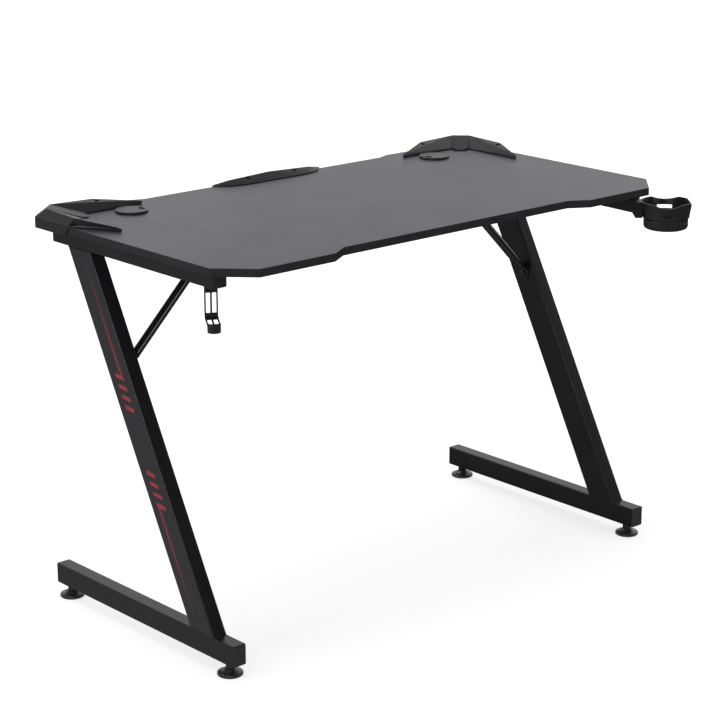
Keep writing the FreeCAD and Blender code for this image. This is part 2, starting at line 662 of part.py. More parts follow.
def guard_arms():
    """The two faceted arms of a corner guard: first along the back edge, second along the side."""
    arm, wide, skin, base = (length(n) for n in ("guard_arm", "guard_wide", "guard_skin", "guard_base"))
    ridge, inset, chamfer = (length(n) for n in ("guard_ridge", "guard_ridge_inset", "guard_ridge_cut"))
    peak = length("guard_peak")
    ridge_end, corner = length("guard_ridge_end"), length("guard_corner")
    ledge, tip, tip_back = (length(n) for n in ("guard_ledge", "guard_tip", "guard_tip_back"))
    shoulder = length("guard_skirt") + length("guard_skirt_lean")
    brow = base + length("guard_ledge_rise")
    bend = wide + chamfer
    plan = {
        "nose": (corner - skin, -skin), "shoulder": (shoulder, -skin), "tip": (arm, wide),
        "bend": (bend, wide),
    }
    heel = (shoulder, ledge - skin)
    toe = (arm - tip_back, wide - tip_back / 2)
    ridge_near, ridge_far = (inset + chamfer, inset), (ridge_end, inset)

    def one_arm(turn):
        """Faces of one arm, with turn swapping the two directions for the other arm."""
        def at(place, high):
            first, second = place if not turn else place[::-1]
            return vector((first, second, high))

        low = {name: at(place, 0) for name, place in plan.items()}
        up = {name: at(place, base) for name, place in plan.items()}
        heel_up, toe_up, toe_top = at(heel, brow), at(toe, brow), at(toe, tip)
        near, far = at(ridge_near, peak), at(ridge_far, ridge)
        walls = [[low[a], low[b], up[b], up[a]] for a, b in (("nose", "shoulder"), ("shoulder", "tip"),
                                                             ("tip", "bend"))]
        tops = [[up["nose"], up["shoulder"], far], [up["shoulder"], heel_up, far], [up["nose"], far, near],
                [up["shoulder"], up["tip"], toe_up], [up["shoulder"], toe_up, heel_up],
                [heel_up, toe_up, toe_top], [heel_up, toe_top, far], [toe_up, up["tip"], toe_top],
                [near, far, toe_top], [toe_top, up["tip"], up["bend"]], [near, toe_top, up["bend"]]]
        return walls + tops, low, up, near

    back_faces, back_low, back_up, back_near = one_arm(False)
    side_faces, side_low, side_up, side_near = one_arm(True)
    across = [
        [back_low["nose"], side_low["nose"], side_up["nose"], back_up["nose"]],
        [back_low["bend"], side_low["bend"], side_up["bend"], back_up["bend"]],
        [back_up["nose"], side_up["nose"], side_near, back_near],
        [back_near, side_near, side_up["bend"], back_up["bend"]],
    ]
    names = ["nose", "shoulder", "tip", "bend"]
    floor = [back_low[n] for n in names] + [side_low[n] for n in reversed(names)]
    return solid_from(back_faces + side_faces + across + [floor])


def guard_skirt():
    """The lip that wraps down over the board's two edges at the corner."""
    skin, drop, corner = length("guard_skin"), length("guard_drop"), length("guard_corner")
    reach, lean_out, cut_back = length("guard_skirt"), length("guard_skirt_lean"), length("back_corner_cut")
    nose = corner - skin
    strips = []
    for turn in (False, True):
        def at(along, out, high, swap=turn):
            return vector((along, out, high)) if not swap else vector((out, along, high))
        profile = [at(nose, -skin, -drop), at(reach, -skin, -drop), at(reach + lean_out, -skin, 0),
                   at(nose, -skin, 0)]
        push = at(0, skin, 0)
        strips.append(Part.Face(Part.makePolygon(profile + profile[:1])).extrude(push))
    corner_plan = [(-skin, nose), (nose, -skin), (cut_back, -skin), (cut_back, 0), (0, cut_back),
                   (-skin, cut_back)]
    points = [vector((u, v, -drop)) for u, v in corner_plan]
    block = Part.Face(Part.makePolygon(points + points[:1])).extrude(vector((0, 0, drop)))
    return strips + [block]


def guard_strip():
    """The sloping round-ended strip across the corner, from its peak to the board."""
    peak, base, wide = length("guard_peak"), length("guard_base"), length("guard_strip_wide")
    start = (length("guard_ridge_inset") + length("guard_ridge_cut") / 2) / diagonal
    centre = length("guard_strip_reach")
    end = centre + wide / 2
    half = wide / 2
    plan = Part.Wire([
        Part.makeLine(vector((start, -half, 0)), vector((centre, -half, 0))),
        Part.Arc(vector((centre, -half, 0)), vector((end, 0, 0)), vector((centre, half, 0))).toShape(),
        Part.makeLine(vector((centre, half, 0)), vector((start, half, 0))),
        Part.makeLine(vector((start, half, 0)), vector((start, -half, 0))),
    ])
    block = Part.Face(plan).extrude(vector((0, 0, peak)))
    slope = [vector((start, -wide, 0)), vector((end, -wide, 0)), vector((end, -wide, base)),
             vector((start, -wide, peak))]
    wedge = Part.Face(Part.makePolygon(slope + slope[:1])).extrude(vector((0, wide * 2, 0)))
    strip = block.common(wedge)
    strip.rotate(vector((0, 0, 0)), vector((0, 0, 1)), 45.0)
    return strip


def recess(along, across, floor):
    """A round screw recess with a clearance hole under it."""
    up = length("guard_ridge")
    hole = Part.makeCylinder(length("screw_r") + length("screw_gap"), up * 3, vector((along, across, -up)))
    sink = Part.makeCylinder(length("guard_recess_r"), up, vector((along, across, floor)))
    return [hole, sink]


def corner_guard_shape():
    """A corner guard about the board's corner: +X along the back edge, +Y along the side edge."""
    shape = guard_arms().multiFuse(guard_skirt() + [guard_strip()])
    along, across = length("guard_screw_along"), length("guard_screw_across")
    floor = length("guard_recess_floor")
    for place in ((along, across), (across, along)):
        for tool in recess(place[0], place[1], floor):
            shape = shape.cut(tool)
    return shape.removeSplitter()


def corner_guards():
    shape = corner_guard_shape().mirror(vector((0, 0, 0)), vector((0, 1, 0)))
    left = shaped("corner_guard_left", shape, -half_width, half_depth, top_level)
    keep(left, "corner_guard_left")
    right = doc.addObject("Part::Mirroring", "corner_guard_right")
    right.Source, right.Normal = left, FreeCAD.Vector(1, 0, 0)
    keep(right, "corner_guard_right")


def centre_guard():
    """A long faceted guard over the middle of the back edge."""
    skin, drop, base = length("guard_skin"), length("mid_drop"), length("guard_base")
    deep, shoulder_deep = length("mid_deep"), length("mid_shoulder")
    half, shoulder, front = length("mid_half"), length("mid_shoulder_half"), length("mid_front_half")
    ridge_half, ridge_end, ridge = length("mid_ridge_half"), length("mid_ridge_end"), length("mid_ridge")
    ridge_line = -length("mid_ridge_inset")
    plan = [(-half, skin), (-half, 0), (-shoulder, -shoulder_deep), (-front, -deep), (front, -deep),
            (shoulder, -shoulder_deep), (half, 0), (half, skin)]
    low = [vector((x, y, 0)) for x, y in plan]
    up = [vector((x, y, base)) for x, y in plan]
    crest = [vector((-ridge_half, ridge_line, ridge_end)), vector((0, ridge_line, ridge)),
             vector((ridge_half, ridge_line, ridge_end))]
    count = len(plan)
    walls = [[low[i], low[(i + 1) % count], up[(i + 1) % count], up[i]] for i in range(count)]
    left, middle, right = crest
    slopes = [[up[0], up[1], left], [up[1], up[2], left], [up[2], up[3], left], [up[3], middle, left],
              [up[3], up[4], middle], [up[4], right, middle], [up[4], up[5], right], [up[5], up[6], right],
              [up[6], up[7], right], [up[7], middle, right], [up[7], up[0], middle], [up[0], left, middle]]
    shape = solid_from(walls + slopes + [low])
    lip = Part.makeBox(ridge_half * 2, skin, drop, vector((-ridge_half, 0, -drop)))
    shape = shape.fuse(lip)
    for side in SIDES.values():
        for tool in recess(length("mid_screw_half") * side, -length("mid_screw_from_back"),
                           length("mid_recess_floor")):
            shape = shape.cut(tool)
    keep(shaped("centre_guard", shape.removeSplitter(), 0, back_edge, top_level), "centre_guard")


def guard_screws():
    """Screws down through the guards, heads on the floors of their recesses."""
    down = {"axis": (1, 0, 0), "angle": 180.0}
    screws = []
    for index, (x, y) in enumerate(guard_screw_spots):
        floor = named("guard_recess_floor")
        screws.append(screw(f"guard_screw{index}", x, y, top_level + floor,
                            floor + named("screw_bite") - named("screw_gap"), **down))
    for index, (x, y) in enumerate(mid_screw_spots):
        floor = named("mid_recess_floor")
        screws.append(screw(f"mid_screw{index}", x, y, top_level + floor,
                            floor + named("screw_bite") - named("screw_gap"), **down))
    keep(group("guard_screws", screws), "guard_screws")


def cup_collar_shape():
    """The arm and flared collar about the cup's axis, with the arm along +X and the rim at zero. The slot
    in the near wall is a slit with a sloping lip below it, the one in the far wall is open."""
    high, wall = length("cup_collar_high"), length("cup_wall")
    rim_r, waist_r = length("cup_collar_r"), length("cup_waist_r")
    axis = vector((0, 0, 1))
    foot = vector((0, 0, -high))
    outer = Part.makeCone(waist_r, rim_r, high, foot, axis)
    inner = Part.makeCone(waist_r - wall, rim_r - wall, high, foot, axis)
    shape = outer.fuse(cup_arm_shape()).cut(inner)
    scoop_r, scoop = length("cup_scoop_r"), length("cup_scoop")
    across = vector((0, 1, 0))
    dip = Part.makeCylinder(scoop_r, rim_r * 2, vector((0, -rim_r, scoop_r - scoop)), across)
    outer_dip = Part.makeCylinder(scoop_r, rim_r, vector((-rim_r, 0, scoop_r - scoop)), vector((1, 0, 0)))
    shape = shape.cut(dip).cut(outer_dip)
    slot_wide, rise = length("cup_slot_wide"), length("cup_slot_rise")
    level, left = rise - high, -slot_wide / 2
    far_slot = Part.makeBox(slot_wide, rim_r, length("cup_slot_high"), vector((left, -rim_r, level)))
    near_slot = Part.makeBox(slot_wide, rim_r, length("cup_front_slot_high"), vector((left, 0, level)))
    lip_high, lip_deep = length("cup_lip_high"), length("cup_lip_deep")
    slot_r = waist_r + (rim_r - waist_r) * rise / high
    lip_r = waist_r + (rim_r - waist_r) * (rise - lip_high) / high
    corners = [vector((left, y, z)) for y, z in ((slot_r - lip_deep, level), (slot_r + lip_deep, level),
                                                 (lip_r, level - lip_high))]
    lip = Part.Face(Part.makePolygon(corners + corners[:1])).extrude(vector((slot_wide, 0, 0)))
    return shape.cut(far_slot).cut(near_slot).cut(lip).removeSplitter()


def cup_arm_shape():
    """The bracket from the collar up to the board's underside, drawn in its upright middle plane."""
    drop, high = length("cup_drop"), length("cup_collar_high")
    heel, knee, rise = length("arm_heel"), length("arm_knee"), length("arm_knee_rise")
    brow, tail, tail_thick = length("arm_brow"), length("arm_tail"), length("arm_tail_thick")
    root, wide = length("arm_root"), length("arm_wide")
    profile = [(root, 0), (heel, 0), (brow, drop), (tail, drop), (tail, drop - tail_thick),
               (knee, rise - high), (heel, -high), (root, -high)]
    points = [vector((x, -wide / 2, z)) for x, z in profile]
    arm = Part.Face(Part.makePolygon(points + points[:1])).extrude(vector((0, wide, 0)))
    hole_r = length("screw_r") + length("screw_gap")
    head_r = length("screw_head_r") + length("screw_gap") * 2
    for alias in ("arm_screw_near", "arm_screw_far"):
        reach = length(alias)
        arm = arm.cut(Part.makeCylinder(hole_r, high, vector((reach, 0, drop - high / 2))))
        arm = arm.cut(Part.makeCylinder(head_r, high, vector((reach, 0, drop - tail_thick - high))))
    return arm


def cup_holder():
    rim_level = under_top - named("cup_drop")
    keep(shaped("cup_arm", cup_collar_shape(), cup_x, cup_y, rim_level, CUP_TURN), "cup_holder_arm")
    bowl_r, wall, high, bend = (named(n) for n in ("bowl_r", "bowl_wall", "bowl_high", "bowl_round"))
    zero, corner = wall * 0, bend * BOWL_CORNER_SHARE
    bowl = turned("bowl", [(zero, zero), (bowl_r - bend, zero), (bowl_r - corner, corner),
                           (bowl_r, bend), (bowl_r, high), (bowl_r - wall, high), (bowl_r - wall, bend),
                           (bowl_r - bend, wall), (zero, wall)])
    bowl_level = rim_level - named("cup_collar_high") - named("cup_groove") - high
    put(bowl, x=cup_x, y=cup_y, z=bowl_level)
    tabs = []
    for index, turn in enumerate((0.0, 90.0, 180.0, 270.0)):
        outer = rod(f"bowl_tab{index}_outer", bowl_r, named("cup_groove"), TAB_SPAN)
        inner = rod(f"bowl_tab{index}_inner", bowl_r - wall, named("cup_groove"), TAB_SPAN)
        tab = join("Cut", f"bowl_tab{index}", outer, inner)
        tabs.append(put(tab, x=cup_x, y=cup_y, z=bowl_level + high,
                        angle=CUP_TURN + turn - TAB_SPAN / 2))
    keep(fuse("cup_bowl", bowl, tabs), "cup_holder_bowl")
    seat = under_top - named("arm_tail_thick")
    screws = [screw(f"arm_screw{index}", x, y, seat,
                    named("arm_tail_thick") + named("screw_bite") - named("screw_gap"))
              for index, (x, y) in enumerate(arm_screw_spots)]
    keep(group("arm_screws", screws), "cup_holder_screws")


def hook_strip(run):
    """The hook's strap, bend and sloping shelf as one even strip, and the shelf's line through its top."""
    wide, thick, drop = length("hook_wide"), length("hook_thick"), length("hook_drop")
    bend = length("hook_bend_r")
    turn = math.radians(90.0 - HOOK_SHELF_FALL)
    left = -wide / 2

    def arc(radius):
        angles = (0.0, turn / 2, turn)
        return [vector((left, radius * math.cos(angle) - bend, -drop - radius * math.sin(angle)))
                for angle in angles]

    inner, outer = arc(bend), arc(bend + thick)
    ahead = vector((0, -math.sin(turn), -math.cos(turn)))
    front_top, back_top = vector((left, 0, 0)), vector((left, thick, 0))
    inner_end, outer_end = inner[2] + ahead * run, outer[2] + ahead * run
    profile = Part.Wire([
        Part.makeLine(front_top, inner[0]), Part.Arc(*inner).toShape(), Part.makeLine(inner[2], inner_end),
        Part.makeLine(inner_end, outer_end), Part.makeLine(outer_end, outer[2]),
        Part.Arc(*reversed(outer)).toShape(), Part.makeLine(outer[0], back_top),
        Part.makeLine(back_top, front_top),
    ])
    return Part.Face(profile).extrude(vector((wide, 0, 0))), inner[2], ahead


def hook_shape():
    """The hook hung from zero and facing -Y: a slotted strap, a sloping shelf and a round nose."""
    wide, thick, drop = length("hook_wide"), length("hook_thick"), length("hook_drop")
    shelf, wall, high = length("hook_shelf"), length("hook_nose_wall"), length("hook_nose_high")
    half, clear = wide / 2, number(OVERRUN)
    strip, shelf_start, ahead = hook_strip(shelf + wide)
    nose = shelf_start + ahead * shelf
    nose_low = nose.z + length("hook_lip_rise") - high
    tall = drop + shelf + wide
    well = Part.makeCylinder(half, tall, vector((0, nose.y, -tall)))
    beyond_foot = vector((-half - clear, nose.y - wide * 2, -tall))
    beyond = Part.makeBox(wide + clear * 2, wide * 2, tall, beyond_foot)
    rim = Part.makeCylinder(half, high, vector((0, nose.y, nose_low)))
    rim = rim.cut(Part.makeCylinder(half - wall, high, vector((0, nose.y, nose_low)))).common(beyond)
    foot = Part.makeBox(wide, length("hook_foot_deep"), thick, vector((-half, 0, -thick)))
    shape = strip.cut(beyond).multiFuse([strip.common(well), rim, foot]).removeSplitter()
    slot_wide, slot_gap = length("hook_slot_wide"), length("hook_slot_gap")
    slot_long, vent_long = length("hook_slot_long"), length("hook_vent_long")
    vent = -length("hook_vent_from") - vent_long
    for start in (slot_gap / 2, -slot_gap / 2 - slot_wide):
        slot_foot = vector((start, -clear, length("hook_slot_low") - drop))
        shape = shape.cut(Part.makeBox(slot_wide, thick + clear * 2, slot_long, slot_foot))
        shape = shape.cut(Part.makeBox(slot_wide, vent_long, tall - drop, vector((start, vent, -tall))))
    hole_r = length("screw_r") + length("screw_gap")
    for step in HOOK_SCREW_SHARES:
        spot = vector((0, length("hook_screw_pitch") * step, -thick - clear))
        shape = shape.cut(Part.makeCylinder(hole_r, thick + clear * 2, spot))
    return shape


def headphone_hook():
    """The hook under the board, turned to the cut corner, and its screws."""
    thick = named("hook_thick")
    hook = shaped("hook", hook_shape(), hook_x, hook_y, under_top, angle=-HOOK_TURN)
    keep(hook, "headphone_hook")
    screws = [screw(f"hook_screw{index}", x, y, under_top - thick,
                    thick + named("screw_bite") - named("screw_gap"))
              for index, (x, y) in enumerate(hook_screw_spots)]
    keep(group("hook_screws", screws), "hook_screws")


tabletop()
for label, side in SIDES.items():
    upper_rail(label, side)
    leg_post(label, side)
    foot_rail(label, side)
    grommet(label, side)
crossbeam()
braces()
rail_screws()
levelling_feet()
corner_guards()
centre_guard()
guard_screws()
cup_holder()
headphone_hook()
doc.recompute()

for obj in doc.Objects:
    if {"Invalid", "Error"} & set(obj.State):
        raise RuntimeError(f"{obj.Name} did not compute: {obj.State}")
for label, obj in nodes:
    if obj.Shape.isNull() or not obj.Shape.isValid():
        raise RuntimeError(f"{label} has no valid shape")
    if not obj.Shape.Solids:
        raise RuntimeError(f"{label} holds no solid")

os.makedirs("parts", exist_ok=True)
for label, obj in nodes:
    obj.Shape.exportStep(os.path.join("parts", f"{label}.step"))
    print(f"{label:28s} solids {len(obj.Shape.Solids)}  volume {obj.Shape.Volume / 1000:10.2f} cm3")
print(len(nodes), "nodes")
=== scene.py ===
import math

import bmesh
import bpy
from mathutils import Matrix, Vector


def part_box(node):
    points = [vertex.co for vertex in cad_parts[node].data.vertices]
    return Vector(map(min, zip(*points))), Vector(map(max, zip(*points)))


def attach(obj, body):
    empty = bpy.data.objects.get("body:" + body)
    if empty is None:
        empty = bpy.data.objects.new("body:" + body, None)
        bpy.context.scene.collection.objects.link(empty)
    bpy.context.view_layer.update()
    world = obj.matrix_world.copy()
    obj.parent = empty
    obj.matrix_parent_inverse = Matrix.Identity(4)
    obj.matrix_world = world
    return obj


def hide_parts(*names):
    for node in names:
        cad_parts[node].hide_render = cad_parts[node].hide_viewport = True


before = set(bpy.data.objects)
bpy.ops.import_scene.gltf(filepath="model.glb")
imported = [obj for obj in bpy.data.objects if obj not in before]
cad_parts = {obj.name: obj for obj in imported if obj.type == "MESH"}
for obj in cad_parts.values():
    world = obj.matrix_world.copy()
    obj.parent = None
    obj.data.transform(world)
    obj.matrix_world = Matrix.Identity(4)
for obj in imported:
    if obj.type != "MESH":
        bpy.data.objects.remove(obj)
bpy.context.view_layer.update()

MM = 0.001
SIDES = {"left": -1, "right": 1}
ENDS = {"front": -1, "back": 1}
DESK = "desk"

# Sizes of what the looks add to the frame
TUBE_CORNER = 2.5 * MM
CAP_EDGE = 0.9 * MM
CAP_SHOULDER = 0.27 * MM
CAP_SKIRT = 2.0 * MM
BOARD_EDGE = 1.0 * MM
GUARD_EDGE = 0.7 * MM
MOULDED_EDGE = 0.5 * MM
LID_EDGE = 0.4 * MM
FINE_EDGE = 0.3 * MM
WELD_RADIUS = 1.5 * MM
WELD_PITCH = 2.2 * MM
PRINT_SINK = 0.1 * MM
STRIPE_PROUD = 0.12 * MM
LINE_PROUD = 0.09 * MM

# Fasteners, as shares of the head's radius or height
SOCKET_SHARE = 0.5
SOCKET_FLOOR_SHARE = 0.35
BOLT_SHANK_SHARE = 0.545
SCREW_SHANK_SHARE = 0.5
HEAD_SEAT_SHARE = 0.98
CROWN_SHARES = ((1.0, 0.25), (0.97, 0.5), (0.86, 0.8), (0.68, 0.97))
RIM_SLACK_SHARE = 0.1
CROSS_CORNERS, HEX_CORNERS = 4, 6

# How meshes are read: what counts as joined, flat, sharp, long or facing a way (turns in degrees)
JOIN_GAP = 0.002 * MM
LEVEL_GAP = MM
FLAT_TURN = 0.4
SHARP_TURN = 30.0
GUARD_SHARP_TURN = 9.0
SMOOTH_TURN = 34.0
BEAD_SMOOTH_TURN = 70.0
LONG_EDGE = 9.0 * MM
GUARD_LONG_EDGE = 2.5 * MM
FACES_OUT = 0.99
FACES_UP = 0.9

# The printed marks on each leg, measured along it from the foot rail and across it from its middle
STRIPE_COUNT = 4
STRIPE_PITCH = 20.3 * MM
STRIPE_LONG = 21.0 * MM
STRIPE_THICK = 8.4 * MM
STRIPE_FALL = 13.2 * MM
STRIPE_GROUPS = {"upper": 420.5 * MM, "lower": 236.0 * MM}
LINE_NEAR_WIDE, LINE_FAR_WIDE = 7.5 * MM, 4.5 * MM
LINE_NEAR_THIN, LINE_FAR_THIN = 0.4, 0.92
LINE_RUNS = {"upper": (478.0 * MM, 706.0 * MM, -6.8 * MM), "lower": (238.0 * MM, 22.0 * MM, 7.2 * MM)}


class Value:
    """A shader socket that can stand in a sum."""

    def __init__(self, finish, socket):
        self.finish = finish
        self.socket = socket

    def sum(self, operation, first, second):
        return self.finish.node("ShaderNodeMath", {"operation": operation}, {0: first, 1: second})

    def __add__(self, other):
        return self.sum("ADD", self, other)

    def __sub__(self, other):
        return self.sum("SUBTRACT", self, other)

    def __rsub__(self, other):
        return self.sum("SUBTRACT", other, self)

    def __mul__(self, other):
        return self.sum("MULTIPLY", self, other)

    __radd__ = __add__
    __rmul__ = __mul__


class Finish:
    """A node material: one method adds any node, another closes it with a surface."""

    def __init__(self, name):
        self.material = bpy.data.materials.new(name)
        self.material.use_nodes = True
        self.tree = self.material.node_tree
        self.tree.nodes.clear()

    def node(self, kind, settings=None, inputs=None, output=0):
        made = self.tree.nodes.new(kind)
        for name, value in (settings or {}).items():
            setattr(made, name, value)
        for name, value in (inputs or {}).items():
            if isinstance(value, Value):
                self.tree.links.new(value.socket, made.inputs[name])
            else:
                made.inputs[name].default_value = value
        return Value(self, made.outputs[output]) if len(made.outputs) else None

    def place(self):
        return self.node("ShaderNodeTexCoord", output="Object")

    def noise(self, scale, detail=2.0, roughness=0.5):
        inputs = {"Vector": self.place(), "Scale": scale, "Detail": detail, "Roughness": roughness}
        return self.node("ShaderNodeTexNoise", {"noise_dimensions": "3D"}, inputs)

    def cells(self, scale):
        inputs = {"Vector": self.place(), "Scale": scale}
        return self.node("ShaderNodeTexVoronoi", {"feature": "SMOOTH_F1"}, inputs)

    def blend(self, share, first, second):
        return self.node("ShaderNodeMix", {"data_type": "RGBA"}, {0: share, 6: first, 7: second}, 2)

    def bump(self, height, strength, depth):
        return self.node("ShaderNodeBump", None, {"Height": height, "Strength": strength, "Distance": depth})

    def surface(self, **inputs):
        shader = self.node("ShaderNodeBsdfPrincipled", None,
                           {name.replace("_", " "): value for name, value in inputs.items()})
        self.node("ShaderNodeOutputMaterial", None, {"Surface": shader})
        return self.material


def grey(level, blue=1.0):
    return (level, level, level * blue, 1.0)


def laminate():
    """Black grained laminate: a fine pebbled skin with a soft sheen."""
    finish = Finish("board_laminate")
    cloud = finish.noise(9.0, 3.0)
    pebble = finish.cells(1300.0)
    fine = finish.noise(2600.0, 2.0)
    colour = finish.blend(cloud, (0.026, 0.025, 0.034, 1.0), (0.035, 0.034, 0.045, 1.0))
    rough = cloud * 0.08 + fine * 0.06 + 0.34
    normal = finish.bump(pebble * 0.7 + fine * 0.3, 0.22, 0.00012)
    return finish.surface(Base_Color=colour, Roughness=rough, Normal=normal, IOR=1.5)


def edge_band():
    """The plastic band round the board: smoother than its faces, with a faint streak."""
    finish = Finish("board_edge_band")
    streak = finish.noise(60.0, 4.0)
    fine = finish.noise(1800.0)
    colour = finish.blend(streak, grey(0.013, 1.12), grey(0.018, 1.12))
    normal = finish.bump(fine, 0.12, 0.0001)
    return finish.surface(Base_Color=colour, Roughness=streak * 0.14 + 0.36, Normal=normal,
                          Specular_IOR_Level=0.2)


def powder_coat(name, dark, light):
    """Satin black powder coat with its orange-peel skin."""
    finish = Finish(name)
    peel = finish.noise(620.0, 1.5)
    cloud = finish.noise(14.0, 3.0)
    speck = finish.noise(3800.0, 1.0)
    colour = finish.blend(cloud, grey(dark, 1.12), grey(light, 1.12))
    normal = finish.bump(peel * 0.8 + speck * 0.2, 0.16, 0.00015)
    return finish.surface(Base_Color=colour, Roughness=cloud * 0.08 + speck * 0.05 + 0.21, Normal=normal,
                          Specular_IOR_Level=0.25)


def gloss_paint():
    """Wet-looking black enamel on the braces."""
    finish = Finish("gloss_enamel_black")
    peel = finish.noise(300.0, 1.0)
    cloud = finish.noise(30.0, 3.0)
    colour = finish.blend(cloud, grey(0.006), grey(0.011))
    normal = finish.bump(peel, 0.05, 0.0002)
    return finish.surface(Base_Color=colour, Roughness=cloud * 0.06 + 0.10, Normal=normal, Coat_Weight=0.4,
                          Coat_Roughness=0.06, Specular_IOR_Level=0.35)


def moulded_plastic(name, dark, light, sheen, grain, shine):
    """Injection-moulded plastic with a spark-eroded grain."""
    finish = Finish(name)
    cloud = finish.noise(22.0, 3.0)
    pit = finish.noise(grain, 2.0, 0.6)
    colour = finish.blend(cloud, grey(dark, 1.08), grey(light, 1.08))
    normal = finish.bump(pit, 0.25, 0.0001)
    return finish.surface(Base_Color=colour, Roughness=cloud * 0.08 + pit * 0.10 + sheen, Normal=normal,
                          Specular_IOR_Level=shine)


def plated_steel(name, dark, light, roughness):
    """Plated steel with a drawn-wire streak."""
    finish = Finish(name)
    streak = finish.noise(420.0, 3.0)
    colour = finish.blend(streak, grey(dark), grey(light))
    return finish.surface(Base_Color=colour, Metallic=1.0, Roughness=streak * 0.16 + roughness)


def red_print():
    """Screen-printed red with a slightly uneven ink film, thinned where a mesh says so."""
    finish = Finish("red_print")
    film = finish.noise(240.0, 3.0)
    full = finish.blend(film, (0.24, 0.018, 0.028, 1.0), (0.30, 0.028, 0.038, 1.0))
    thinned = finish.node("ShaderNodeAttribute", {"attribute_name": "thinned"}, None, "Fac")
    colour = finish.blend(thinned, full, grey(0.017, 1.12))
    normal = finish.bump(film, 0.08, 0.0001)
    return finish.surface(Base_Color=colour, Roughness=film * 0.12 + 0.42, Normal=normal,
                          Specular_IOR_Level=0.25)


LAMINATE = laminate()
EDGE_BAND = edge_band()
POWDER = powder_coat("powder_coat_black", 0.006, 0.010)
# A lighter copy of the black powder coat for the legs' outer faces: painted light for the side that faces
# the side lamp.
LIT_SIDE_COAT = powder_coat("leg_lit_side_painted_light", 0.015, 0.019)
ENAMEL = gloss_paint()
GUARD_PLASTIC = moulded_plastic("guard_plastic", 0.012, 0.016, 0.26, 2400.0, 0.26)
BLACK_PLASTIC = moulded_plastic("black_plastic", 0.011, 0.015, 0.26, 2000.0, 0.31)
CAP_PLASTIC = moulded_plastic("cap_plastic", 0.014, 0.018, 0.34, 2200.0, 0.25)
PAD_PLASTIC = moulded_plastic("pad_plastic", 0.016, 0.024, 0.22, 1500.0, 0.5)
BLACK_OXIDE = plated_steel("black_oxide_steel", 0.045, 0.075, 0.30)
ZINC = plated_steel("zinc_steel", 0.36, 0.46, 0.26)
RED = red_print()


def shade(mesh, angle):
    """Rounds the look of a mesh but keeps wide faces flat: each corner leans with the faces round it
    that turn less than an angle from its own, each by its area."""
    mesh.shade_smooth()
    limit = math.cos(math.radians(angle))
    faces = [(face.normal.copy(), face.area, tuple(face.vertices)) for face in mesh.polygons]
    around = [[] for _ in mesh.vertices]
    for normal, area, corners in faces:
        for corner in corners:
            around[corner].append((normal, area))
    leans = []
    for normal, area, corners in faces:
        for corner in corners:
            kin = [other * size for other, size in around[corner] if other.dot(normal) > limit]
            leans.append(sum(kin, Vector()).normalized())
    mesh.normals_split_custom_set(leans)


def new_piece(name, built, body, slot, *finishes):
    """Turns a bmesh into a piece of the scene that rides on a body."""
    mesh = bpy.data.meshes.new(name)
    built.to_mesh(mesh)
    built.free()
    for finish in finishes:
        mesh.materials.append(finish)
    shade(mesh, SMOOTH_TURN)
    piece = bpy.data.objects.new(name, mesh)
    bpy.context.scene.collection.objects.link(piece)
    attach(piece, body)
    return piece


def merged_copy(node):
    """A CAD piece's mesh with its loose triangles joined and its flat faces made whole."""
    built = bmesh.new()
    built.from_mesh(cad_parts[node].data)
    bmesh.ops.remove_doubles(built, verts=built.verts, dist=JOIN_GAP)
    bmesh.ops.dissolve_limit(built, angle_limit=math.radians(FLAT_TURN), verts=built.verts,
                             edges=built.edges)
    return built


def sharp_edges(built, angle, shortest):
    """The edges that turn by more than an angle and are longer than the shortest wanted."""
    limit = math.radians(angle)
    return [edge for edge in built.edges if len(edge.link_faces) == 2
            and edge.calc_face_angle(0.0) > limit and edge.calc_length() > shortest]


def softened(node, body, slot, finish, width, angle=SHARP_TURN, shortest=0.0):
    """A copy of a CAD piece with its sharp edges rounded over, which stands for it."""
    built = merged_copy(node)
    bmesh.ops.bevel(built, geom=sharp_edges(built, angle, shortest), offset=width, segments=2,
                    profile=0.5, affect="EDGES", clamp_overlap=False)
    piece = new_piece(f"{node}_skin", built, body, slot, finish)
    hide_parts(node)


def rounded_section(half_wide, half_deep, corner, steps=4):
    """Points round a rectangle with rounded corners, as pairs."""
    points = []
    for turn, (side, end) in enumerate(((1, 1), (-1, 1), (-1, -1), (1, -1))):
        centre = (side * (half_wide - corner), end * (half_deep - corner))
        for step in range(steps + 1):
            angle = math.pi / 2 * (turn + step / steps)
            points.append((centre[0] + corner * math.cos(angle), centre[1] + corner * math.sin(angle)))
    return points


def loft(rings):
    """A closed solid through rings of equally many points, capped at both ends."""
    built = bmesh.new()
    rows = [[built.verts.new(point) for point in ring] for ring in rings]
    for low, high in zip(rows, rows[1:]):
        for index in range(len(low)):
            after = (index + 1) % len(low)
            built.faces.new((low[index], low[after], high[after], high[index]))
    built.faces.new(list(reversed(rows[0])))
    built.faces.new(rows[-1])
    bmesh.ops.recalc_face_normals(built, faces=built.faces)
    return built


def rail(node, body):
    """A steel rail along Y with the rounded corners of rolled tube."""
    low, high = (Vector(corner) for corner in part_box(node))
    middle, half = (low + high) / 2, (high - low) / 2
    section = rounded_section(half.x, half.z, TUBE_CORNER)
    rings = [[(middle.x + x, y, middle.z + z) for x, z in section] for y in (low.y, high.y)]
    piece = new_piece(f"{node}_skin", loft(rings), body, "black_steel", POWDER)
    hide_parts(node)


